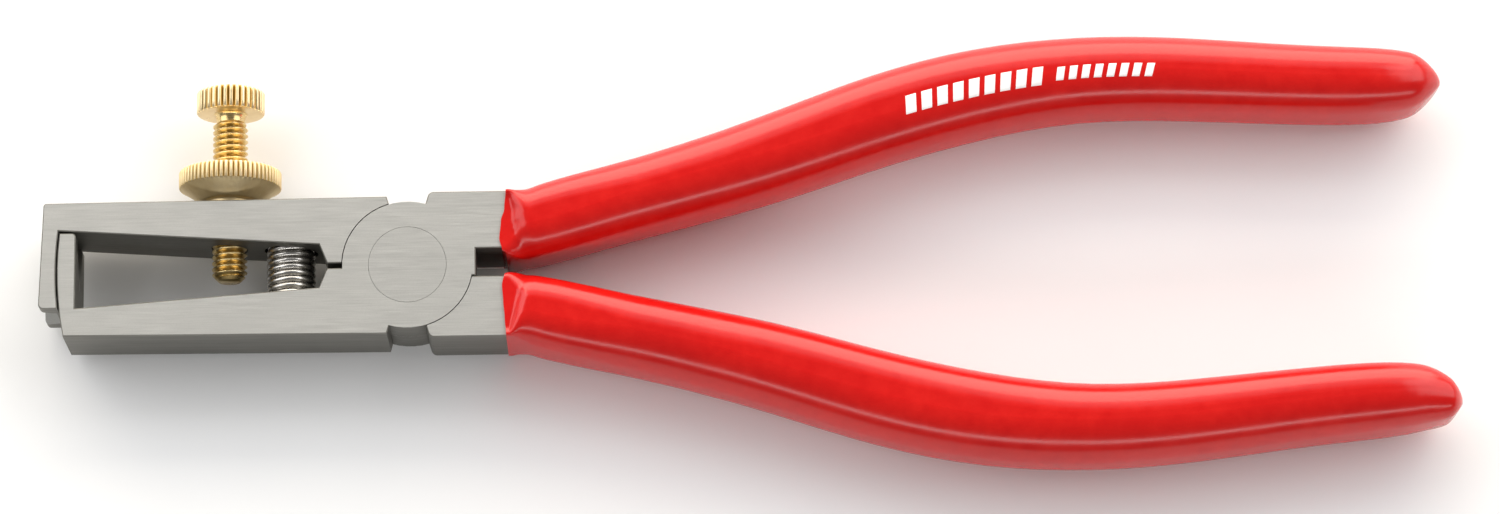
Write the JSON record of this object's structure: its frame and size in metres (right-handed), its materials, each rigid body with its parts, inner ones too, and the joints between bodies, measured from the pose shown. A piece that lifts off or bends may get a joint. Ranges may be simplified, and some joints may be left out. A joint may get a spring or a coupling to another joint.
{
  "type": "wire stripper",
  "caption": "End-type wire-stripping pliers with V-notched blades, a knurled adjusting screw and lock nut, an opening spring and dipped handles.",
  "frame": {"origin": "where the pivot axis meets the flat rear face of the head", "axes": "+X along the tool to the handles, +Y across it to the adjusting screw, +Z along the pivot out of the front face"},
  "size_m": [0.1599, 0.0498, 0.0116],
  "materials": {
    "tool_steel": "brushed",
    "rivet_steel": "brushed",
    "spring_steel": "satin",
    "brass": "turned",
    "red_dip": "glossy"
  },
  "bodies": {
    "rear": {"rear_lever": "tool_steel", "joint_rivet": "rivet_steel", "rear_handle_sleeve": "red_dip", "opening_spring": "spring_steel"},
    "front": {"front_lever": "tool_steel", "front_handle_sleeve": "red_dip"},
    "screw": {"adjusting_stud": "brass"},
    "knob": {"adjusting_knob": "brass"},
    "nut": {"lock_nut": "brass"}
  },
  "joints": [
    {"name": "jaw_pivot", "type": "hinge", "parent": "rear", "child": "front", "pos_m": [0, 0, 0.0044], "axis": [0, 0, 1], "range_deg": [0, 30], "deforming": ["opening_spring"]},
    {"name": "screw_travel", "type": "slide", "parent": "rear", "child": "screw", "axis": [0, 1, 0], "range_m": [-0.00245, 0.0035]},
    {"name": "screw_turn", "type": "hinge", "parent": "screw", "child": "knob", "pos_m": [-0.02025, 0, 0.0044], "axis": [0, 1, 0], "range_deg": [-1261, 1801]},
    {"name": "nut_travel", "type": "slide", "parent": "rear", "child": "nut", "axis": [0, 1, 0], "range_m": [0, 0.0021]}
  ],
  "couplings": [
    {"joint": "screw_turn", "follows": "screw_travel", "rad_per_m": 8976}
  ]
}
